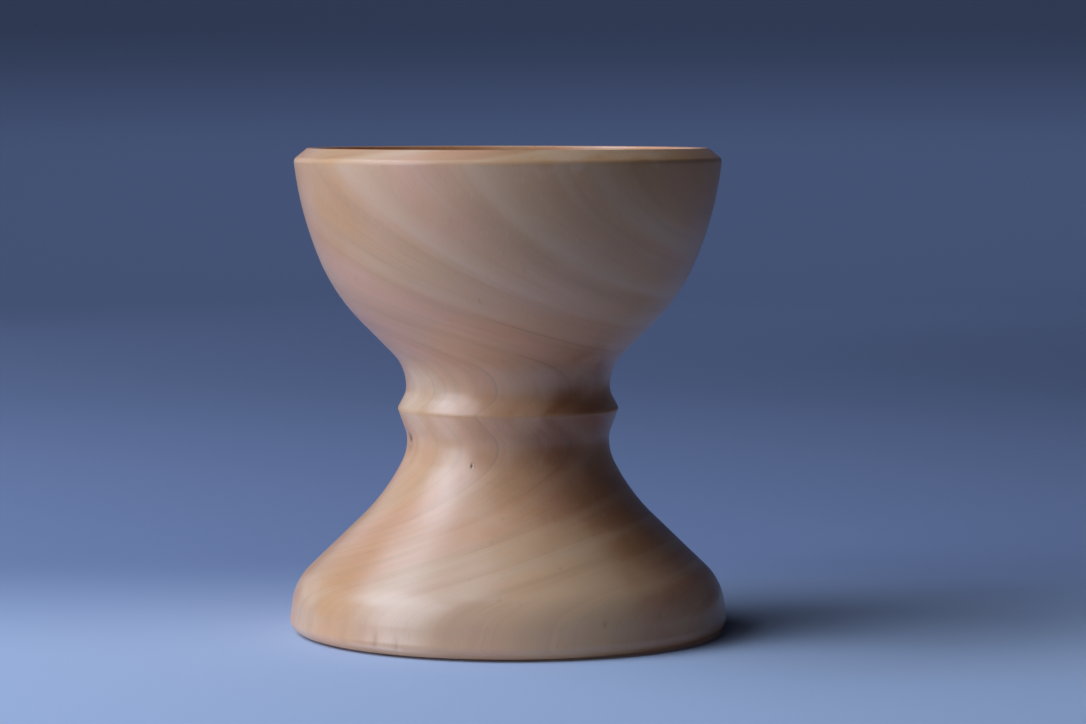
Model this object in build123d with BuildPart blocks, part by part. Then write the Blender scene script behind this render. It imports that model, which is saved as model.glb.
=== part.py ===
from build123d import *

import os
from math import cos, radians, sin

# A communion chalice turned in one pale, close-grained hardwood. Two turned pieces, the cup and
# the foot, meet on a flat face hidden at the tip of the waist bead and are held by a loose
# turned tenon glued into a blind mortise in each. A felt pad is let into the underside of the foot.
# Millimetres, +Z up, Z is the axis of turning, origin on it in the plane the chalice rests on.

# Driving dimensions
height = 112.0
rim_radius = 49.5           # widest part of the cup, just under the rim chamfer
foot_radius = 50.8          # widest part of the foot
waist_radius = 25.6         # tip of the waist bead
waist_height = 51.7         # plane of the joint, through the tip of the bead

# Waist bead: a small rounded nose between two straight flanks
bead_nose_radius = 1.2
cup_flank_angle = 28.0      # from vertical
foot_flank_angle = 20.0

# Cup, outside: neck, cove, straight flare and two arcs up to the rim
cup_neck_radius = 23.7
cup_cove_radius = 5.0       # between the bead and the neck
cup_flare_cove_radius = 11.0
cup_flare_angle = 44.5      # from vertical
cup_flare_length = 10.3
belly_radius = 45.5
belly_turn = 22.0           # degrees of arc
rim_chamfer_width = 3.2
rim_chamfer_height = 2.6
rim_corner_round = 1.5

# Cup, inside
lip_width = 1.6             # flat top of the lip, before its edges are rounded
lip_round = 0.5
hollow_depth = 41.5
hollow_wall_handle = 27.5   # how far the hollow's wall runs nearly straight down from the lip
hollow_floor_handle = 29.0  # how far its floor runs nearly flat out from the axis

# Foot, outside: neck, cove, long easy curve, straight flare, shoulder, side and edge
foot_neck_radius = 23.5
foot_cove_radius = 7.0
foot_flare_cove_radius = 12.0
foot_flare_cove_turn = 27.0
foot_easing_radius = 48.0
foot_flare_angle = 46.0     # from vertical
foot_flare_length = 16.9
shoulder_radius = 13.4
side_angle = 6.0            # the side still spreads by this much as it goes down
foot_edge_height = 3.4      # where the side is widest
ring_radius = 49.0          # outer edge of the flat ring under the foot

# Underside: felt pad in a shallow recess, with the turner's chuck recess hidden above it
pad_thickness = 2.0
pad_proud = 0.4
pad_radius = 41.7
pad_recess_radius = 42.0
chuck_recess_radius = 24.0
chuck_recess_depth = 3.0
chuck_dovetail = 0.8        # the chuck recess is this much wider at its floor

# Loose tenon and its mortises
tenon_radius = 9.95
mortise_radius = 10.0
cup_mortise_depth = 11.0
foot_mortise_depth = 21.0
end_gap = 0.5               # room for glue past each end of the tenon
mortise_chamfer = 0.6
tenon_chamfer = 1.2
glue_groove_radius = 0.5
glue_groove_pitch = 5.0
vent_width = 1.6
vent_depth = 0.8
face_relief_depth = 0.3     # the cup's joint face is hollowed so that only its outer ring touches
face_relief_inner = 11.5
face_relief_outer = 20.5

same_height = 0.01          # edges no further apart in height than this form one ring


def circles_at(builder, z):
    """The circular edges of what a builder holds, at height z."""
    circles = builder.edges().filter_by(GeomType.CIRCLE)
    return circles.filter_by_position(Axis.Z, z - same_height, z + same_height)


def bead_to_neck(up, neck_radius, cove_radius, flank_angle):
    """Outline from the tip of the waist bead to the neck's vertical tangent.

    up is 1 to climb the cup and -1 to go down the foot. Returns the last curve.
    """
    angle = radians(flank_angle)
    curved = (bead_nose_radius + cove_radius) * (1 - cos(angle))
    flank_length = (waist_radius - neck_radius - curved) / sin(angle)
    tip = (waist_radius, waist_height)
    nose = JernArc(start=tip, tangent=(0, up), radius=bead_nose_radius, arc_size=up * flank_angle)
    flank = PolarLine(nose @ 1, flank_length, direction=nose % 1)
    return JernArc(flank @ 1, flank % 1, radius=cove_radius, arc_size=-up * flank_angle)


# Cup: the outline climbs from the bead to the rim, crosses the lip and goes down the hollow.
lip_outer = rim_radius - rim_chamfer_width
lip_inner = lip_outer - lip_width
rim_corner = (rim_radius, height - rim_chamfer_height)
hollow_floor = height - hollow_depth

with BuildPart() as cup:
    with BuildSketch(Plane.XZ):
        with BuildLine():
            neck = bead_to_neck(1, cup_neck_radius, cup_cove_radius, cup_flank_angle)
            cove = JernArc(
                neck @ 1, neck % 1, radius=cup_flare_cove_radius, arc_size=-cup_flare_angle
            )
            flare = PolarLine(cove @ 1, cup_flare_length, direction=cove % 1)
            belly = JernArc(flare @ 1, flare % 1, radius=belly_radius, arc_size=belly_turn)
            TangentArc(belly @ 1, rim_corner, tangent=belly % 1)
            Polyline(rim_corner, (lip_outer, height), (lip_inner, height))
            Bezier(
                (lip_inner, height),
                (lip_inner, height - hollow_wall_handle),
                (hollow_floor_handle, hollow_floor),
                (0, hollow_floor),
            )
            Polyline((0, hollow_floor), (0, waist_height), (waist_radius, waist_height))
        make_face()
    revolve(axis=Axis.Z)

    fillet(circles_at(cup, height), radius=lip_round)
    fillet(circles_at(cup, height - rim_chamfer_height), radius=rim_corner_round)

    with BuildSketch(Plane.XY.offset(waist_height)):
        Circle(face_relief_outer)
        Circle(face_relief_inner, mode=Mode.SUBTRACT)
    extrude(amount=face_relief_depth, mode=Mode.SUBTRACT)

    joint_face = Plane(origin=(0, 0, waist_height), z_dir=(0, 0, -1))
    with Locations(joint_face):
        Hole(mortise_radius, depth=cup_mortise_depth + end_gap)
    mortise_mouth = circles_at(cup, waist_height).sort_by(SortBy.RADIUS)[0]
    chamfer(mortise_mouth, length=mortise_chamfer)

# Foot: the outline goes down from the bead to the ring, then across the stepped underside.
pad_floor = pad_thickness
chuck_floor = pad_floor + chuck_recess_depth
chuck_floor_radius = chuck_recess_radius + chuck_dovetail

with BuildPart() as foot:
    with BuildSketch(Plane.XZ):
        with BuildLine():
            neck = bead_to_neck(-1, foot_neck_radius, foot_cove_radius, foot_flank_angle)
            cove = JernArc(
                neck @ 1, neck % 1, radius=foot_flare_cove_radius, arc_size=foot_flare_cove_turn
            )
            easing = JernArc(
                cove @ 1,
                cove % 1,
                radius=foot_easing_radius,
                arc_size=foot_flare_angle - foot_flare_cove_turn,
            )
            flare = PolarLine(easing @ 1, foot_flare_length, direction=easing % 1)
            shoulder = JernArc(
                flare @ 1, flare % 1, radius=shoulder_radius, arc_size=side_angle - foot_flare_angle
            )
            side = TangentArc(shoulder @ 1, (foot_radius, foot_edge_height), tangent=shoulder % 1)
            TangentArc(side @ 1, (ring_radius, pad_proud), tangent=side % 1)
            Polyline(
                (ring_radius, pad_proud),
                (pad_recess_radius, pad_proud),
                (pad_recess_radius, pad_floor),
                (chuck_recess_radius, pad_floor),
                (chuck_floor_radius, chuck_floor),
                (0, chuck_floor),
                (0, waist_height),
                (waist_radius, waist_height),
            )
        make_face()
    revolve(axis=Axis.Z)

    with Locations((0, 0, waist_height)):
        Hole(mortise_radius, depth=foot_mortise_depth + end_gap)
    mortise_mouth = circles_at(foot, waist_height).sort_by(SortBy.RADIUS)[0]
    chamfer(mortise_mouth, length=mortise_chamfer)

# Loose tenon: turned pin with chamfered ends, glue grooves and one lengthwise vent.
tenon_length = cup_mortise_depth + foot_mortise_depth
tenon_middle = waist_height + (cup_mortise_depth - foot_mortise_depth) / 2
groove_count = int(tenon_length // glue_groove_pitch) - 1  # none in the pitch next to each end

with BuildPart() as joint_tenon:
    with Locations((0, 0, tenon_middle)):
        Cylinder(tenon_radius, tenon_length)
    chamfer(joint_tenon.edges().filter_by(GeomType.CIRCLE), length=tenon_chamfer)
    with BuildSketch(Plane.XZ):
        with Locations((tenon_radius, tenon_middle)):
            with GridLocations(0, glue_groove_pitch, 1, groove_count):
                Circle(glue_groove_radius)
    revolve(axis=Axis.Z, mode=Mode.SUBTRACT)
    with Locations((tenon_radius, 0, tenon_middle)):
        Box(2 * vent_depth, vent_width, tenon_length, mode=Mode.SUBTRACT)

# Felt pad: a disc glued into the recess, standing a little proud of the wooden ring.
with BuildPart() as base_pad:
    with BuildSketch():
        Circle(pad_radius)
    extrude(amount=pad_thickness)

cup.part.label = "cup"
foot.part.label = "foot"
joint_tenon.part.label = "joint_tenon"
base_pad.part.label = "base_pad"

os.makedirs("parts", exist_ok=True)
for piece in (cup.part, foot.part, joint_tenon.part, base_pad.part):
    export_step(piece, f"parts/{piece.label}.step")
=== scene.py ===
"""The communion chalice's looks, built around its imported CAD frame.

Everything is in metres in the CAD's own frame: +Z up along the axis of turning, origin in the
plane that the chalice rests on. The camera looks along +Y. An azimuth on the chalice is counted
from the front, towards the left.
"""

import math

import bmesh
import bpy
import numpy as np
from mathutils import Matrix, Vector, noise
from mathutils.bvhtree import BVHTree


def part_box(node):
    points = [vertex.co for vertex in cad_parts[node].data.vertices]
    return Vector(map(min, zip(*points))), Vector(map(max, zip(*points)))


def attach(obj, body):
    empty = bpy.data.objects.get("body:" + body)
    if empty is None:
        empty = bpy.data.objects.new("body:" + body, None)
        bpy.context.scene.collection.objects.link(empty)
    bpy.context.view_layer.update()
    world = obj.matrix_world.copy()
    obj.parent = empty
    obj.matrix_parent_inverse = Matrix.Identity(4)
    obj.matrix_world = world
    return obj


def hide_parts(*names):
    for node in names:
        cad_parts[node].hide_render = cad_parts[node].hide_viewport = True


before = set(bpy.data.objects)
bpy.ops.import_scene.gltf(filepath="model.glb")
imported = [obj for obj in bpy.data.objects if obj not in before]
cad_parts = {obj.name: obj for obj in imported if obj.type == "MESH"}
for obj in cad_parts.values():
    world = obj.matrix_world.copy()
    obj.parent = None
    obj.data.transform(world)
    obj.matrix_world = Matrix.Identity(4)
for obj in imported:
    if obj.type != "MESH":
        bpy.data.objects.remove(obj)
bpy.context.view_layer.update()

MM = 0.001
NEAR = 1e-6                 # points closer than this are one point

# The turned meshes
WOOD_COLUMNS = 330          # round a wooden piece, before those that crowd round a mark
FELT_COLUMNS = 300
CUP_ROW = 0.85 * MM         # from one row to the next along the outline
FOOT_ROW = 0.9 * MM
FELT_ROW = 0.8 * MM
STRAIGHT_ROW = 4            # rows are this many times as far apart on a straight outline
ROW_TURN = math.radians(8)  # the most that the surface bends between two rows
SHARP_TURN = math.radians(5)  # a greater turn at one point of an outline is a sharp edge
FACET_ERROR = 0.05 * MM     # how far the CAD's facets may lie from its true outline
FINE_STEPS = 8000           # round a circle, where columns are placed
COLUMN_CROWDING = 8         # how much closer together columns and rows are at a mark
ROW_CROWDING = 5
COLUMN_REACH = 2.4          # how far from a mark that begins, in the mark's radii
ROW_REACH = 1.6
EDGE_ROWS = 7               # round the felt's soft edge, above and below

# The camera: where it stands and what it sees, worked out from the outline's perspective
CAMERA_DISTANCE = 0.7924    # from the axis of turning
CAMERA_HEIGHT = 0.1205
CAMERA_SIDE = 0.0081        # to the right of the axis
CAMERA_TILT = 4.2           # degrees below the horizon
LENS = 113.4
SENSOR = 36
SIGHT_EDGE = 0.17           # just past the picture's right edge: to the right, for each unit ahead

# The tree: growth rings about a pith that leans a little, in millimetres
PITH = (-11.2, 2.1)         # where the pith passes the waist
PITH_LEAN = (0.046, -0.02)  # how far it moves for each millimetre up
ROOT_SPREAD = 0.0016        # below the waist they widen by this share for each millimetre down
RINGS = (4.6, 10.4, 16.2, 21.8, 27.3, 33.1, 38.6, 43.6, 48.9, 53.4, 58.6, 64.0)
BARK = 70.0                 # past the outermost ring

# Small natural marks on the foot: azimuth in degrees, the rest in millimetres. A mark's stretch
# is how much taller than wide it is, and dark is how strongly it is coloured.
FOOT_MARKS = (
    {"azimuth": 19.2, "height": 40.4, "radius": 0.3, "depth": 0.15, "stretch": 1.4, "dark": 0.75},
    {"azimuth": 73.0, "height": 45.2, "radius": 1.1, "depth": 0.5, "stretch": 1, "dark": 0.85},
    {"azimuth": 35.0, "height": 3.2, "radius": 0.7, "depth": 0.08, "stretch": 2.5, "dark": 0.16},
    {"azimuth": 28.4, "height": 3.0, "radius": 0.6, "depth": 0.06, "stretch": 2.5, "dark": 0.12},
)

# Patches of another tone on the wood: degrees and millimetres again. A patch's share is how far
# the wood goes over to its tone, and flat is how many times wider than tall it is. Some are the
# wood's own tone; others are painted light and shade, as marked below.
TONE_LIGHT_AND_SHADE_PATCHES = (
    {"node": "cup", "azimuth": 56, "height": 97, "reach": 18, "tone": "orange", "share": 0.8},
    {"node": "foot", "azimuth": 62, "height": 16, "reach": 17, "tone": "orange", "share": 0.6},
    {"node": "foot", "azimuth": 2, "height": 31, "reach": 13, "tone": "orange", "share": 0.45},
    {"node": "cup", "azimuth": -35, "height": 102, "reach": 28, "tone": "orange", "share": 0.5},
    {"node": "cup", "azimuth": -6, "height": 99, "reach": 24, "tone": "tawny", "share": 0.5},
    # Painted shade, partly the wood's darker tone: this patch and the two after it darken the right
    # of the waist and foot, on the shaded side.
    {"node": "cup", "azimuth": -10, "height": 70, "reach": 30, "tone": "rosy", "share": 0.6},
    {"node": "foot", "azimuth": -40, "height": 46, "reach": 27, "tone": "russet_and_shade", "share": 0.9},
    {"node": "cup", "azimuth": -44, "height": 53, "reach": 18, "tone": "umber_and_shade", "share": 0.65},
    {"node": "foot", "azimuth": -34, "height": 49, "reach": 14, "tone": "umber_and_shade", "share": 0.7},
    # Painted sheen: pale on the left of the bead's upper flank and the waist, where the window's
    # sheen lies.
    {"node": "cup", "azimuth": 58, "height": 54, "reach": 13, "tone": "pale", "share": 0.8},
    # Painted light: a wide pale band over the rim's chamfer on the right, where light falls from
    # above.
    {
        "node": "cup", "azimuth": -28, "height": 111.5, "reach": 28, "tone": "pale", "share": 0.8,
        "flat": 6,
    },
    # Painted sheen: these two pale patches whiten the lower foot at the left and the front, where the
    # window's sheen lies.
    {"node": "foot", "azimuth": 66, "height": 5, "reach": 13, "tone": "pale", "share": 0.6},
    {"node": "foot", "azimuth": 22, "height": 12, "reach": 28, "tone": "pale", "share": 0.55},
    # Painted shade, partly the wood's darker tone: the shaded right of the foot's flare.
    {"node": "foot", "azimuth": -80, "height": 22, "reach": 38, "tone": "umber_and_shade", "share": 0.75},
    # Partly the wood's pale band and partly painted light from above, on the lower right of the foot.
    {"node": "foot", "azimuth": -15, "height": 14, "reach": 27, "tone": "cream_and_light", "share": 0.9},
)


# ---------------------------------------------------------------- outlines read from the CAD


def facing(azimuth):
    """The outward direction at an azimuth, in degrees."""
    turn = math.radians(azimuth)
    return Vector((-math.sin(turn), -math.cos(turn), 0))


def first_hit(node, start, direction):
    """Where a ray first meets a CAD node's surface."""
    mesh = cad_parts[node].data
    corners = [vertex.co for vertex in mesh.vertices]
    surface = BVHTree.FromPolygons(corners, [tuple(face.vertices) for face in mesh.polygons])
    return surface.ray_cast(Vector(start), Vector(direction))[0]


def crossings(node):
    """The lowest and highest heights at which a CAD node's surface crosses the axis."""
    low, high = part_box(node)
    beside = 0.013 * MM      # just off the axis, so that the ray meets no vertex
    up = first_hit(node, (beside, beside, low[2] - 1), (0, 0, 1))
    down = first_hit(node, (beside, beside, high[2] + 1), (0, 0, -1))
    return up.z, down.z


def on_surface(node, azimuth, height):
    """Where a CAD node's outside is at an azimuth, in degrees, and a height, in millimetres."""
    start = facing(azimuth) + Vector((0, 0, height * MM))
    return first_hit(node, start, -facing(azimuth))


def seam_curves(node, turn):
    """The lines that a turned CAD node's mesh has in one half plane through the axis.

    turn is the half plane's angle from +X, in degrees. A line is a list of (radius, height) points
    that belong to one CAD face.
    """
    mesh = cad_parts[node].data
    cos, sin = math.cos(math.radians(turn)), math.sin(math.radians(turn))
    points, beside = {}, {}
    for vertex in mesh.vertices:
        x, y, z = vertex.co
        if abs(y * cos - x * sin) < NEAR and x * cos + y * sin > -NEAR:
            points[vertex.index] = np.array((abs(x * cos + y * sin), z))
    for edge in mesh.edges:
        a, b = edge.vertices
        if a in points and b in points and np.linalg.norm(points[a] - points[b]) > NEAR:
            beside.setdefault(a, []).append(b)
            beside.setdefault(b, []).append(a)
    curves = {}
    for end in sorted(i for i in beside if len(beside[i]) == 1):
        walk, last = [end], None
        while len(beside[walk[-1]]) > 1 or len(walk) == 1:
            onward = [i for i in beside[walk[-1]] if i != last]
            last = walk[-1]
            walk.append(onward[0])
        curve = [points[i] for i in walk]
        ends = sorted((tuple(curve[0].round(7)), tuple(curve[-1].round(7))))
        curves.setdefault(tuple(ends), curve)
    return list(curves.values())


def along_line(point, curve):
    """True if a point lies on a curve, to within a facet's error."""
    for start, stop in zip(curve, curve[1:]):
        share = np.clip((point - start) @ (stop - start) / ((stop - start) @ (stop - start)), 0, 1)
        if np.linalg.norm(start + share * (stop - start) - point) < FACET_ERROR:
            return True
    return False


def outline(node):
    """A turned CAD node's curves in order, from its lower crossing of the axis to the upper one.

    A face has its seam in one of four half planes. Flat faces have none, so the gap that one
    leaves is crossed at its own height by a straight line.
    """
    left = []
    for turn in (0, 90, 180, 270):
        known = list(left)
        for curve in seam_curves(node, turn):
            middle = (curve[0] + curve[1]) / 2
            if not any(along_line(middle, other) for other in known):
                left.append(curve)
    low, high = crossings(node)
    at, end = np.array((0.0, low)), np.array((0.0, high))
    ordered = []

    def gap(point):
        return abs(point[0] - at[0]) + abs(point[1] - at[1]) / NEAR

    while left:
        nearest = min(range(len(left)), key=lambda i: min(gap(left[i][0]), gap(left[i][-1])))
        curve = left.pop(nearest)
        if gap(curve[-1]) < gap(curve[0]):
            curve = curve[::-1]
        if np.linalg.norm(curve[0] - at) > NEAR:
            ordered.append([at, curve[0]])
        ordered.append(curve)
        at = curve[-1]
    if np.linalg.norm(end - at) > NEAR:
        ordered.append([at, end])
    return ordered


def tangents(curve):
    """The direction of travel at each point of a curve, as of the circle through its neighbours."""
    points = np.array(curve)
    steps = np.diff(points, axis=0)
    lengths = np.linalg.norm(steps, axis=1)
    chords = steps / lengths[:, None]
    if len(chords) == 1:
        return np.array([chords[0], chords[0]])
    inner = chords[:-1] * lengths[1:, None] + chords[1:] * lengths[:-1, None]
    inner /= np.linalg.norm(inner, axis=1)[:, None]
    first = 2 * (chords[0] @ inner[0]) * chords[0] - inner[0]
    last = 2 * (chords[-1] @ inner[-1]) * chords[-1] - inner[-1]
    return np.vstack((first, inner, last))


def traced(curve, pieces=12):
    """Points along a curve's smooth course, close together."""
    points = []
    for start, stop, leave, arrive in zip(curve, curve[1:], tangents(curve), tangents(curve)[1:]):
        length = np.linalg.norm(stop - start)
        for t in np.linspace(0, 1, pieces, endpoint=False):
            points.append(
                (2 * t**3 - 3 * t**2 + 1) * start
                + (t**3 - 2 * t**2 + t) * length * leave
                + (3 * t**2 - 2 * t**3) * stop
                + (t**3 - t**2) * length * arrive
            )
    return points + [curve[-1]]


def smooth_runs(node):
    """A turned CAD node's outline, split where it turns sharply: (points, has curves in it)."""
    runs, heading = [], None
    for curve in outline(node):
        turned = tangents(curve)
        points = traced(curve)
        if heading is not None and heading @ turned[0] > math.cos(SHARP_TURN):
            runs[-1][0].extend(points[1:])
            runs[-1][1] |= len(curve) > 2
        else:
            runs.append([points, len(curve) > 2])
        heading = turned[-1]
    return [(np.array(points), curved) for points, curved in runs]


def spread(t, density):
    """Places from one end of t to the other, as close together as the density along t asks."""
    steps = np.concatenate(([0], np.cumsum((density[1:] + density[:-1]) / 2 * np.diff(t))))
    count = max(1, round(steps[-1]))
    return np.interp(np.linspace(0, steps[-1], count + 1), steps, t)


def crowded(t, marks, density):
    """Extra density round each mark (place, reach)."""
    return sum((density * np.exp(-(((t - place) / reach) ** 2)) for place, reach in marks), 0 * t)


# ---------------------------------------------------------------- turned meshes


def turned_columns(marks, count):
    """Angles about the axis from the front, close together at the marks' azimuths."""
    t = np.linspace(0, math.tau, FINE_STEPS)
    wanted = []
    for mark in marks:
        reach = COLUMN_REACH * mark["radius"] * MM / mark["place"].xy.length
        wanted.append((math.radians(mark["azimuth"]), reach))
    density = count / math.tau
    return spread(t, density + crowded(t, wanted, COLUMN_CROWDING * density))[:-1]


def turned_rows(node, marks, step):
    """Points round a turned node's outline as (radius, height, normal), and the sharp rows."""
    rows, sharp = [], []
    for points, curved in smooth_runs(node):
        steps = np.linalg.norm(np.diff(points, axis=0), axis=1)
        along = np.concatenate(([0], np.cumsum(steps)))
        out, up = (np.gradient(points[:, i], along) for i in (0, 1))
        heading = np.unwrap(np.arctan2(up, out))
        density = np.full_like(along, 1 / step if curved else 1 / (STRAIGHT_ROW * step))
        density += abs(np.gradient(heading, along)) / ROW_TURN
        wanted = []
        for mark in marks:
            out, up = mark["place"].xy.length, mark["place"].z
            away = np.hypot(points[:, 0] - out, points[:, 1] - up)
            if away.min() < mark["radius"] * MM:
                reach = ROW_REACH * mark["radius"] * mark["stretch"] * MM
                wanted.append((along[away.argmin()], reach))
        places = spread(along, density + crowded(along, wanted, ROW_CROWDING / step))
        radius, height = (np.interp(places, along, points[:, i]) for i in (0, 1))
        outward = np.stack((np.gradient(height, places), -np.gradient(radius, places)), axis=1)
        outward /= np.linalg.norm(outward, axis=1)[:, None]
        first = 1 if rows else 0
        rows += list(zip(radius[first:], height[first:], outward[first:]))
        sharp.append(len(rows) - 1)
    return rows, sharp[:-1]


def disc_rows(radius, low, high, edge, step):
    """Rows of a flat disc with rounded edges, from the middle of its underside to that of its top."""
    flats = np.linspace(0, radius - edge, round((radius - edge) / step))
    turns = np.radians(np.linspace(0, 90, EDGE_ROWS))
    rows = [(r, low, (0, -1)) for r in flats[:-1]]
    for turn in turns:
        out, up = math.sin(turn), math.cos(turn)
        rows.append((radius - edge + edge * out, low + edge - edge * up, (out, -up)))
    for turn in turns[::-1]:
        out, up = math.sin(turn), math.cos(turn)
        rows.append((radius - edge + edge * out, high - edge + edge * up, (out, up)))
    rows += [(r, high, (0, 1)) for r in flats[-2::-1]]
    return rows


def turned_mesh(name, rows, sharp, angles, relief):
    """A solid or a sheet of revolution. relief(place, outward) is how far a point stands out."""
    mesh = bmesh.new()
    rings = []
    for radius, height, (out, up) in rows:
        if radius < NEAR:
            rings.append([mesh.verts.new((0, 0, height))])
            continue
        ring = []
        for angle in angles:
            side = Vector((-math.sin(angle), -math.cos(angle), 0))
            outward = side * out + Vector((0, 0, up))
            place = side * radius + Vector((0, 0, height))
            ring.append(mesh.verts.new(place + outward * relief(place, outward)))
        rings.append(ring)
    count = len(angles)
    for index, (low, high) in enumerate(zip(rings, rings[1:])):
        for i in range(count):
            j = (i + 1) % count
            corners = (low[i % len(low)], low[j % len(low)], high[j % len(high)], high[i % len(high)])
            face = mesh.faces.new(dict.fromkeys(corners))
            face.smooth = True
    for row in sharp:
        ring = rings[row]
        for i in range(len(ring)):
            edge = mesh.edges.get((ring[i], ring[(i + 1) % len(ring)]))
            edge.smooth = False
    bmesh.ops.recalc_face_normals(mesh, faces=mesh.faces)
    data = bpy.data.meshes.new(name)
    mesh.to_mesh(data)
    mesh.free()
    piece = bpy.data.objects.new(name, data)
    bpy.context.scene.collection.objects.link(piece)
    return piece


def sanded(place):
    """How far sanding has taken a turned surface in from its true shape, a little unevenly."""
    depth, wave, flattened = 0.02 * MM, 22 * MM, 3
    slow = noise.noise(Vector((place.x, place.y, place.z * flattened)) / wave)
    return -depth - depth * slow


def matted(place, outward):
    """How far pressed felt stands in from the plane that it was cut to."""
    coarse_wave, coarse_depth = 3.1 * MM, 0.035 * MM
    fine_wave, fine_depth = 1.1 * MM, 0.015 * MM
    coarse = coarse_depth * noise.noise(place / coarse_wave)
    fine = fine_depth * noise.noise(place / fine_wave)
    return -(coarse_depth + fine_depth + coarse + fine)


def level(place, outward):
    """A surface with no relief."""
    return 0


def pit(place, mark):
    """How a small hollow with a softly raised rim changes the surface at a place near it."""
    rim_at, rim_height, rim_sharpness, gone = 1.5, 0.12, 4, 3   # distances in the mark's radii
    centre = facing(mark["azimuth"])
    side = Vector((-centre.y, centre.x, 0))
    if centre.dot(place) < 0:
        return 0
    radius = mark["radius"] * MM
    wide = side.dot(place) / radius
    tall = (place.z - mark["place"].z) / radius / mark["stretch"]
    away = math.hypot(wide, tall)
    if away > gone:
        return 0
    rim = rim_height * math.exp(-((away - rim_at) ** 2) * rim_sharpness)
    return mark["depth"] * MM * (rim - math.exp(-(away**2)))


def wooden_relief(marks, still_within):
    """A relief function for a wooden piece: sanded, with pits at its marks.

    Within a radius of the axis the piece keeps its exact shape.
    """

    def relief(place, outward):
        if math.hypot(place.x, place.y) < still_within:
            return 0
        return sanded(place) + sum(pit(place, mark) for mark in marks)

    return relief


# ---------------------------------------------------------------- materials


class Tree:
    """Adds shader nodes to a new material. An input may be a number, a tuple or a socket."""

    def __init__(self, name):
        self.material = bpy.data.materials.new(name)
        self.material.use_nodes = True
        self.nodes = self.material.node_tree.nodes
        self.links = self.material.node_tree.links
        self.surface = self.nodes["Principled BSDF"]
        self.output = self.nodes["Material Output"]

    def fill(self, socket, value):
        if isinstance(value, bpy.types.NodeSocket):
            self.links.new(value, socket)
        else:
            socket.default_value = value

    def node(self, kind, inputs=(), **settings):
        made = self.nodes.new("ShaderNode" + kind)
        for key, value in settings.items():
            setattr(made, key, value)
        for key, value in dict(inputs).items():
            self.fill(made.inputs[key], value)
        return made

    def maths(self, operation, *values):
        return self.node("Math", enumerate(values), operation=operation).outputs[0]

    def product(self, first, *others):
        """All the values multiplied together."""
        for other in others:
            first = self.maths("MULTIPLY", first, other)
        return first

    def vector(self, operation, *values, **named):
        inputs = dict(enumerate(values), **named)
        made = self.node("VectorMath", inputs, operation=operation)
        return made.outputs["Value" if operation == "LENGTH" else "Vector"]

    def mix(self, share, first, second):
        """The first colour, gone over to the second by a share."""
        inputs = {0: share, 6: first, 7: second}
        return self.node("Mix", inputs, data_type="RGBA").outputs[2]

    def between(self, value, low, high, to_low=0.0, to_high=1.0):
        """value's place between low and high, eased and held at both ends."""
        inputs = {"Value": value, "From Min": low, "From Max": high}
        inputs.update({"To Min": to_low, "To Max": to_high})
        return self.node("MapRange", inputs, interpolation_type="SMOOTHSTEP").outputs[0]

    def noise(self, vector, detail=2.0, roughness=0.5, w=None, distortion=0.0):
        inputs = {"Vector": vector, "Scale": 1.0, "Detail": detail, "Roughness": roughness}
        inputs["Distortion"] = distortion
        if w is not None:
            inputs["W"] = w
        made = self.node("TexNoise", inputs, noise_dimensions="3D" if w is None else "4D")
        return made.outputs

    def sized(self, vector, size, offset=(0, 0, 0)):
        """vector divided by a size on each axis, so that noise of it has features that big."""
        return self.vector("MULTIPLY_ADD", vector, tuple(1 / s for s in size), offset)

    def count_past(self, value, places, end):
        """How many of the places value has passed, rising evenly between one and the next."""
        ramp = self.node("ValToRGB", {0: self.maths("DIVIDE", value, end)})
        stops = ramp.color_ramp.elements
        total = len(places) + 1
        stops[0].position, stops[0].color = 0, (0, 0, 0, 1)
        stops[1].position, stops[1].color = 1, (1, 1, 1, 1)
        for passed, place in enumerate(places, start=1):
            share = passed / total
            stops.new(place / end).color = (share, share, share, 1)
        return self.maths("MULTIPLY", ramp.outputs[0], total)


def millimetres(tree):
    """The point being shaded, in millimetres in the chalice's own frame."""
    return tree.vector("SCALE", tree.node("TexCoord").outputs["Object"], Scale=1 / MM)


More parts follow.
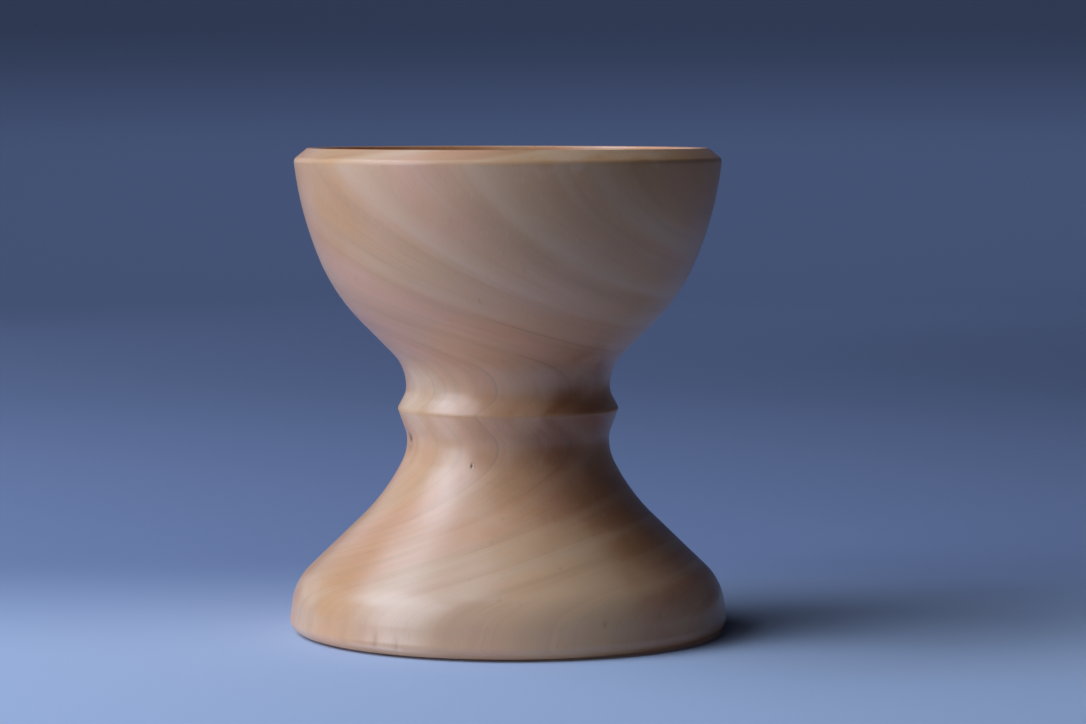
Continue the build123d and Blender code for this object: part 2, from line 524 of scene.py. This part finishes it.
class Log:
    """Where a point lies in the tree that the wood came from."""

    MIDDLE = 42.0            # typical distance from the pith
    DRIFT = 0.8              # how far the rings wander to each side of their true place
    DRIFT_SIZE = (70, 70, 190)

    def __init__(self, tree, waist):
        self.tree = tree
        self.place = millimetres(tree)
        drift = tree.noise(tree.sized(self.place, self.DRIFT_SIZE), detail=1)["Color"]
        reach, back = 2 * self.DRIFT, -self.DRIFT
        drift = tree.vector("MULTIPLY_ADD", drift, (reach, reach, 0), (back, back, 0))
        place = tree.vector("ADD", self.place, drift)
        height = tree.node("SeparateXYZ", {0: place}).outputs[2]
        pith = tree.vector("SCALE", (*PITH_LEAN, 0), Scale=tree.maths("SUBTRACT", height, waist))
        pith = tree.vector("ADD", pith, (*PITH, 0))
        flat = tree.vector("MULTIPLY", tree.vector("SUBTRACT", place, pith), (1, 1, 0))
        below = tree.maths("MINIMUM", tree.maths("SUBTRACT", height, waist), 0.0)
        narrowing = tree.maths("MULTIPLY_ADD", below, ROOT_SPREAD, 1.0)
        self.height = height
        self.distance = tree.maths("MULTIPLY", tree.vector("LENGTH", flat), narrowing)
        self.direction = tree.vector("NORMALIZE", flat)
        self.season = tree.maths("FRACT", tree.count_past(self.distance, RINGS, BARK))

    def streaks(self, across, along, upright, detail=2.0, roughness=0.5, offset=0.0):
        """Noise drawn out along the growth rings, with features of these sizes."""
        tree = self.tree
        out = tree.node("CombineXYZ", {2: tree.maths("DIVIDE", self.distance, across)}).outputs[0]
        turn = self.MIDDLE / along
        vector = tree.vector("MULTIPLY_ADD", self.direction, (turn, turn, 0), out)
        height = tree.maths("MULTIPLY_ADD", self.height, 1 / upright, offset)
        return tree.noise(vector, detail, roughness, w=height)["Fac"]


def near(tree, place, centre, reach, stretch=1.0):
    """1 about a centre, in metres, fading to 0 at a reach from it, in millimetres.

    stretch is how much taller than wide the spot is.
    """
    wholly_inside = reach / 4
    away = tree.vector("SUBTRACT", place, tuple(centre / MM))
    away = tree.vector("LENGTH", tree.vector("MULTIPLY", away, (1, 1, 1 / stretch)))
    return tree.between(away, reach, wholly_inside)


WOOD = {
    "pale": (0.82, 0.52, 0.32, 1),
    # cream, used only low on the foot's right, is partly painted light.
    "cream_and_light": (0.88, 0.51, 0.28, 1),
    "tan": (0.76, 0.40, 0.20, 1),
    "rosy": (0.82, 0.39, 0.22, 1),
    "orange": (0.73, 0.34, 0.13, 1),
    "tawny": (0.63, 0.31, 0.14, 1),
    "brown": (0.52, 0.25, 0.125, 1),
    # russet and umber, used only by the patches on the shaded right, are partly painted shade.
    "russet_and_shade": (0.53, 0.20, 0.08, 1),
    "umber_and_shade": (0.45, 0.14, 0.045, 1),
    "line": (0.32, 0.14, 0.07, 1),
    "knot": (0.13, 0.045, 0.025, 1),
}


def slow_tones(tree, log):
    """Rosy to tan along the rings, warm clouds, and the patches of other tones, some of them painted
    light and shade.
    """
    tone = log.streaks(across=7, along=60, upright=130, detail=3)
    colour = tree.mix(tree.between(tone, 0.35, 0.65), WOOD["rosy"], WOOD["tan"])
    warm = tree.noise(tree.sized(log.place, (26, 26, 30), (3.1, 7.7, 2.9)), detail=2)["Fac"]
    colour = tree.mix(tree.between(warm, 0.5, 0.72, 0, 0.5), colour, WOOD["orange"])
    rag = 22                 # how ragged a patch's edge is, in millimetres
    ragged = tree.noise(tree.sized(log.place, (11, 11, 11), (6, 2, 1)), detail=3)["Color"]
    ragged = tree.vector("MULTIPLY_ADD", ragged, (rag, rag, rag), (-rag / 2, -rag / 2, -rag / 2))
    ragged = tree.vector("ADD", ragged, log.place)
    for patch in TONE_LIGHT_AND_SHADE_PATCHES:
        centre = on_surface(patch["node"], patch["azimuth"], patch["height"])
        inside = near(tree, ragged, centre, patch["reach"], 1 / patch.get("flat", 1))
        share = tree.maths("MULTIPLY", inside, patch["share"])
        colour = tree.mix(share, colour, WOOD[patch["tone"]])
    return colour


def year_rings(tree, log, colour, waist):
    """Each year starts pale, fades, and ends a little browner with a thin dark line.

    The outer years have the stronger pale streaks, and the inner ones the sharper lines. Pale
    streaks are faint low on the foot, and the lines are unbroken only about the waist.
    """
    season = log.season
    drawn_out = log.streaks(across=24, along=26, upright=60, offset=8.8)
    spring = tree.product(
        tree.between(season, 0, 0.16),
        tree.between(season, 0.55, 0.14),
        tree.between(log.distance, 30, 46, 0.2, 0.5),
        tree.between(log.height, waist - 8, waist - 28, 1, 0.6),
        tree.between(drawn_out, 0.3, 0.7, 0.35, 1),
    )
    colour = tree.mix(spring, colour, WOOD["pale"])
    autumn = tree.product(tree.between(season, 0.4, 0.9), tree.between(season, 1, 0.95), 0.13)
    colour = tree.mix(autumn, colour, WOOD["brown"])

    side = tree.node("SeparateXYZ", {0: log.direction}).outputs[0]
    broken = log.streaks(across=30, along=22, upright=60, detail=3, offset=1.7)
    broken = tree.between(broken, 0.35, 0.6, 0.1, 1)
    from_waist = tree.maths("ABSOLUTE", tree.maths("SUBTRACT", log.height, waist))
    line = tree.product(
        tree.between(season, 0.9, 0.97),
        tree.between(season, 1, 0.98),
        tree.between(log.distance, 48, 38, 0.04, 0.26),
        tree.between(side, -0.15, 0.35, 0.1, 1),
        tree.maths("MAXIMUM", broken, tree.between(from_waist, 20, 8, 0, 1.3)),
    )
    return tree.mix(line, colour, WOOD["line"])


def fine_streaks(tree, log, colour):
    """The finer streaks inside each year."""
    band = log.streaks(across=1.5, along=45, upright=150, detail=3, offset=4.2)
    colour = tree.mix(tree.between(band, 0.5, 0.72, 0, 0.25), colour, WOOD["pale"])
    colour = tree.mix(tree.between(band, 0.5, 0.3, 0, 0.2), colour, WOOD["brown"])
    fine = log.streaks(across=0.45, along=40, upright=160, detail=3, roughness=0.65, offset=2.3)
    return tree.mix(tree.between(fine, 0.52, 0.72, 0, 0.2), colour, WOOD["brown"])


def fibres(tree, place, hair, colour):
    """Hair-thin upright fibres, dark and bright, and small brown flecks."""
    colour = tree.mix(tree.between(hair, 0.5, 0.75, 0, 0.1), colour, WOOD["line"])
    shine = tree.noise(tree.sized(place, (0.5, 0.5, 9), (9, 4, 6)), detail=2)["Fac"]
    colour = tree.mix(tree.between(shine, 0.55, 0.8, 0, 0.2), colour, WOOD["pale"])
    fleck = tree.noise(tree.sized(place, (2.2, 2.2, 4.5), (2, 8, 5)), detail=2)["Fac"]
    return tree.mix(tree.between(fleck, 0.68, 0.8, 0, 0.35), colour, WOOD["brown"])


def wear(tree, height, worn_heights):
    """How far handling has worn the raised edges, from 0 to 1."""
    worn = 0.0
    for edge, reach in worn_heights:
        most_worn = 0.2 * reach
        gap = tree.maths("ABSOLUTE", tree.maths("SUBTRACT", height, edge))
        worn = tree.maths("MAXIMUM", worn, tree.between(gap, reach, most_worn))
    return worn


def knots_and_nicks(tree, place, marks, colour):
    """A dark core and a fainter halo at each mark."""
    halo_reach, core_reach = 3.2, 1.3    # in the mark's radii
    halo_share = 0.45                    # of the core's darkness
    for mark in marks:
        dark = mark["dark"]
        halo = near(tree, place, mark["place"], mark["radius"] * halo_reach, mark["stretch"])
        core = near(tree, place, mark["place"], mark["radius"] * core_reach, mark["stretch"])
        colour = tree.mix(tree.maths("MULTIPLY", halo, halo_share * dark), colour, WOOD["line"])
        colour = tree.mix(tree.maths("MULTIPLY", core, dark), colour, WOOD["knot"])
    return colour


def satin(tree, place, hair, worn):
    """Roughness of an oiled and waxed surface: a little uneven, and duller where it is worn."""
    smoothest, dullest = 0.3, 0.38
    added_by_fibres, added_by_wear = 0.06, 0.14
    smear = tree.noise(tree.sized(place, (14, 14, 11), (5, 1, 8)), detail=4)["Fac"]
    rough = tree.between(smear, 0.3, 0.7, smoothest, dullest)
    rough = tree.maths("MULTIPLY_ADD", tree.between(hair, 0.4, 0.8), added_by_fibres, rough)
    return tree.maths("MULTIPLY_ADD", worn, added_by_wear, rough)


def fine_relief(tree, place, height, hair):
    """Bump of open fibres and of the finest sanding scratches, which run round the piece."""
    scratch_width = 0.22
    scratch_share = 0.35     # of a fibre's relief
    radius = tree.vector("LENGTH", tree.vector("MULTIPLY", place, (1, 1, 0)))
    round_it = tree.node("CombineXYZ", {0: radius, 2: height}).outputs[0]
    scratch = tree.sized(round_it, (scratch_width, 1, scratch_width))
    scratch = tree.noise(scratch, detail=2)["Fac"]
    relief = tree.maths("MULTIPLY_ADD", scratch, scratch_share, tree.maths("MULTIPLY", hair, -1.0))
    return tree.node("Bump", {"Strength": 0.1, "Distance": 0.05 * MM, "Height": relief}).outputs[0]


def wood_material(waist, worn_heights, marks):
    """Pale close-grained hardwood, with its growth rings, fibres, marks and a satin finish."""
    tree = Tree("turned_wood")
    log = Log(tree, waist)
    place = log.place
    height = tree.node("SeparateXYZ", {0: place}).outputs[2]
    hair = tree.noise(tree.sized(place, (0.16, 0.16, 5)), detail=3, roughness=0.6)["Fac"]
    worn = wear(tree, height, worn_heights)
    worn_share = 0.3         # how far a worn edge goes over to orange

    colour = slow_tones(tree, log)
    colour = year_rings(tree, log, colour, waist)
    colour = fine_streaks(tree, log, colour)
    colour = fibres(tree, place, hair, colour)
    colour = tree.mix(tree.maths("MULTIPLY", worn, worn_share), colour, WOOD["orange"])
    colour = knots_and_nicks(tree, place, marks, colour)

    surface = tree.surface.inputs
    tree.fill(surface["Base Color"], colour)
    tree.fill(surface["Roughness"], satin(tree, place, hair, worn))
    tree.fill(surface["Normal"], fine_relief(tree, place, height, hair))
    surface["Coat Weight"].default_value = 0.45
    surface["Coat Roughness"].default_value = 0.24
    surface["Subsurface Weight"].default_value = 0.06
    surface["Subsurface Radius"].default_value = (1.0, 0.5, 0.25)
    surface["Subsurface Scale"].default_value = 1.2 * MM
    return tree.material


def tenon_material():
    """Plain straight-grained dowel wood, dry and unfinished."""
    tree = Tree("tenon_wood")
    place = millimetres(tree)
    rings = tree.noise(tree.sized(place, (1.4, 9, 60)), detail=3)["Fac"]
    colour = tree.mix(tree.between(rings, 0.35, 0.65), WOOD["tan"], WOOD["pale"])
    hair = tree.noise(tree.sized(place, (0.2, 0.2, 4)), detail=3)["Fac"]
    colour = tree.mix(tree.between(hair, 0.5, 0.75, 0, 0.4), colour, WOOD["line"])
    bump = tree.node("Bump", {"Strength": 0.3, "Distance": 0.06 * MM, "Height": hair})
    tree.fill(tree.surface.inputs["Base Color"], colour)
    tree.fill(tree.surface.inputs["Roughness"], tree.between(hair, 0.3, 0.7, 0.6, 0.75))
    tree.fill(tree.surface.inputs["Normal"], bump.outputs[0])
    return tree.material


FELT = {
    "deep": (0.012, 0.045, 0.026, 1),
    "green": (0.04, 0.12, 0.07, 1),
    "cloud": (0.06, 0.13, 0.07, 1),
}


def felt_material():
    """Dense wool felt: matted fibres in a few greens, with a soft sheen."""
    tree = Tree("felt")
    place = millimetres(tree)
    fibre, cloud = 0.35, 9   # sizes in millimetres
    mat = tree.sized(place, (fibre, fibre, fibre))
    mat = tree.noise(mat, detail=4, roughness=0.7, distortion=2.5)["Fac"]
    cloudy = tree.noise(tree.sized(place, (cloud, cloud, cloud)), detail=3)["Fac"]
    colour = tree.mix(tree.between(mat, 0.3, 0.7), FELT["deep"], FELT["green"])
    colour = tree.mix(tree.between(cloudy, 0.4, 0.7, 0, 0.35), colour, FELT["cloud"])
    bump = tree.node("Bump", {"Strength": 0.8, "Distance": 0.25 * MM, "Height": mat})
    tree.fill(tree.surface.inputs["Base Color"], colour)
    tree.fill(tree.surface.inputs["Normal"], bump.outputs[0])
    tree.surface.inputs["Roughness"].default_value = 0.95
    tree.surface.inputs["Sheen Weight"].default_value = 0.2
    tree.surface.inputs["Sheen Roughness"].default_value = 0.6
    return tree.material


# near is the paper's own colour; behind, high and aside are painted shade.
PAPER_AND_PAINTED_SHADE = {
    "near": (0.52, 0.60, 0.80, 1),
    "behind": (0.26, 0.31, 0.50, 1),
    "high": (0.06, 0.07, 0.11, 1),
    "aside": (0.20, 0.21, 0.26, 1),
}


def stage_material():
    """Pale paper, which a camera below it sees through.

    Behind the chalice it is painted darker, as shade where the light falls off, and darker still a
    little way up the sweep. To the right, out of the camera's sight, it is painted grey as shade, so
    that it throws little blue light back on the shaded side. The places where it changes are in
    millimetres.
    """
    tree = Tree("stage")
    right, back, up = tree.node("SeparateXYZ", {0: millimetres(tree)}).outputs
    # Painted shade: darker behind the chalice, where the light falls off.
    colour = tree.mix(tree.between(back, -50, 130), PAPER_AND_PAINTED_SHADE["near"], PAPER_AND_PAINTED_SHADE["behind"])
    # Painted shade: darker still a little way up the sweep.
    band = tree.product(tree.between(up, 80, 190), tree.between(up, 800, 300), 0.65)
    colour = tree.mix(band, colour, PAPER_AND_PAINTED_SHADE["high"])
    # Painted shade: grey to the right, out of the camera's sight, so little blue light comes back
    # onto the shaded side.
    ahead = tree.maths("ADD", back, CAMERA_DISTANCE / MM)
    out_of_sight = tree.maths("MULTIPLY_ADD", ahead, -SIGHT_EDGE, right)
    colour = tree.mix(tree.between(out_of_sight, 0, 300), colour, PAPER_AND_PAINTED_SHADE["aside"])
    tree.fill(tree.surface.inputs["Base Color"], colour)
    tree.surface.inputs["Roughness"].default_value = 0.9
    tree.surface.inputs["Specular IOR Level"].default_value = 0.1
    clear = tree.node("BsdfTransparent")
    below = tree.node("NewGeometry").outputs["Backfacing"]
    mixed = tree.node("MixShader", {0: below, 1: tree.surface.outputs[0], 2: clear.outputs[0]})
    tree.links.new(mixed.outputs[0], tree.output.inputs[0])
    return tree.material


# ---------------------------------------------------------------- pieces

foot_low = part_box("foot")[0]
cup_low, cup_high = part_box("cup")
pad_low, pad_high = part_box("base_pad")
waist = cup_low[2] / MM

foot_marks = [
    {**mark, "place": on_surface("foot", mark["azimuth"], mark["height"])} for mark in FOOT_MARKS
]

# Heights of the edges that handling wears, and how far the wear reaches, in millimetres: the tip of
# the waist bead, the corner under the rim's chamfer and the edge that the foot stands on.
RIM_CHAMFER = 2.6
FOOT_EDGE = 0.6
worn_edges = (
    (waist, 0.9),
    (cup_high[2] / MM - RIM_CHAMFER, 0.8),
    (foot_low[2] / MM + FOOT_EDGE, 0.9),
)
wood = wood_material(waist, worn_edges, foot_marks)

FOOT_HIDDEN = 21 * MM       # within this radius the foot's joint face, mortise and recess are hidden


def wooden_piece(name, node, marks, row, still_within):
    """A turned wooden piece in place of a CAD node."""
    rows, sharp = turned_rows(node, marks, row)
    columns = turned_columns(marks, WOOD_COLUMNS)
    piece = turned_mesh(name, rows, sharp, columns, wooden_relief(marks, still_within))
    piece.data.materials.append(wood)
    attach(piece, "root")
    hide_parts(node)
    return piece


def felt_piece(name, node):
    """A pad cut from felt sheet in place of a CAD node: its edge is soft and its faces uneven."""
    soft_edge = 0.45 * MM
    rows = disc_rows(pad_high[0], pad_low[2], pad_high[2], soft_edge, FELT_ROW)
    piece = turned_mesh(name, rows, [], turned_columns([], FELT_COLUMNS), matted)
    piece.data.materials.append(felt_material())
    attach(piece, "root")
    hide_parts(node)
    return piece


wooden_piece("cup_turned", "cup", [], CUP_ROW, 0)
foot = wooden_piece("foot_turned", "foot", foot_marks, FOOT_ROW, FOOT_HIDDEN)
pad = felt_piece("base_pad_felt", "base_pad")
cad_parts["joint_tenon"].data.materials[0] = tenon_material()

# ---------------------------------------------------------------- stage

STAGE_FLAT = 1.4            # radius of the flat floor
STAGE_SWEEP = 0.8           # radius of the curve that leads up to the wall
STAGE_WALL = 0.4            # height of the wall above it
STAGE_COLUMNS = 96
FLAT_ROWS = 6
SWEEP_ROWS = 13
STAGE_GAP = 0.1 * MM        # between the floor and the chalice's underside


def build_stage():
    """A pale floor that sweeps up all round, so that no horizon shows from any side."""
    profile = [(radius, 0) for radius in np.linspace(0, STAGE_FLAT, FLAT_ROWS)]
    for turn in np.linspace(0, math.pi / 2, SWEEP_ROWS)[1:]:
        out, up = math.sin(turn), 1 - math.cos(turn)
        profile.append((STAGE_FLAT + STAGE_SWEEP * out, STAGE_SWEEP * up))
    profile.append((STAGE_FLAT + STAGE_SWEEP, STAGE_SWEEP + STAGE_WALL))
    rows = [(radius, height - STAGE_GAP, (0, 0)) for radius, height in profile]
    columns = np.linspace(0, math.tau, STAGE_COLUMNS, endpoint=False)
    floor = turned_mesh("floor", rows, [], columns, level)
    floor.data.flip_normals()
    floor.data.materials.append(stage_material())


build_stage()

# ---------------------------------------------------------------- lights

DAYLIGHT = (0.8, 0.98, 1.22)
LIGHT_DISTANCE = 1.1

# Windows round the chalice. Angles are in degrees, sizes are width and height, power is in watts.
WINDOWS = (
    {"name": "window", "azimuth": 63, "elevation": 26, "size": (0.7, 1.1), "power": 8.5},
    {"name": "far_window", "azimuth": 88, "elevation": 44, "size": (0.45, 0.6), "power": 3.2},
    {"name": "high_window", "azimuth": 114, "elevation": 54, "size": (0.45, 0.5), "power": 1.3},
    {"name": "rim", "azimuth": 137, "elevation": 14, "size": (0.8, 0.5), "power": 0.6},
    {"name": "top", "azimuth": 45, "elevation": 70, "size": (0.4, 0.4), "power": 1.0},
)


def soft_light(name, azimuth, elevation, size, power, target, distance=LIGHT_DISTANCE):
    """A soft light at a distance from its target and aimed at it."""
    data = bpy.data.lights.new(name, "AREA")
    data.shape = "RECTANGLE"
    data.size, data.size_y = size
    data.energy = power
    data.color = DAYLIGHT
    light = bpy.data.objects.new(name, data)
    bpy.context.scene.collection.objects.link(light)
    lift = math.radians(elevation)
    away = facing(azimuth) * math.cos(lift) + Vector((0, 0, math.sin(lift)))
    light.location = away * distance + Vector(target)
    light.rotation_euler = away.to_track_quat("Z", "Y").to_euler()
    light.visible_camera = False
    return light


chalice_middle = (0, 0, cup_high[2] / 2)
for window in WINDOWS:
    soft_light(**window, target=chalice_middle)

backdrop = (0, 1.9, 0.2)
soft_light("backdrop_glow", 0, 35, size=(1.6, 0.3), power=1.8, target=backdrop, distance=0.9)

# A light shines up through the floor, for a camera down there, and lights only the foot and pad
underside = bpy.data.collections.new("underside")
underside.objects.link(pad)
underside.objects.link(foot)
below = soft_light("below", 80, -38, size=(0.3, 0.3), power=0.5, target=(0, 0, 0), distance=0.7)
below.light_linking.receiver_collection = underside
below.light_linking.blocker_collection = underside

# Past the paper there is plain air, which the camera sees but which gives no light
AIR = (0.16, 0.21, 0.34, 1)
world = bpy.data.worlds.new("world")
world.use_nodes = True
air = world.node_tree.nodes["Background"].inputs
air["Color"].default_value = AIR
rays = world.node_tree.nodes.new("ShaderNodeLightPath")
world.node_tree.links.new(rays.outputs["Is Camera Ray"], air["Strength"])
bpy.context.scene.world = world
bpy.context.scene.view_settings.view_transform = "Standard"

# ---------------------------------------------------------------- camera

camera_data = bpy.data.cameras.new("camera")
camera_data.lens = LENS
camera_data.sensor_width = SENSOR
camera_data.clip_start = 0.05
camera = bpy.data.objects.new("camera", camera_data)
camera.location = (CAMERA_SIDE, -CAMERA_DISTANCE, CAMERA_HEIGHT)
camera.rotation_euler = (math.radians(90 - CAMERA_TILT), 0, 0)
bpy.context.scene.collection.objects.link(camera)
bpy.context.scene.camera = camera
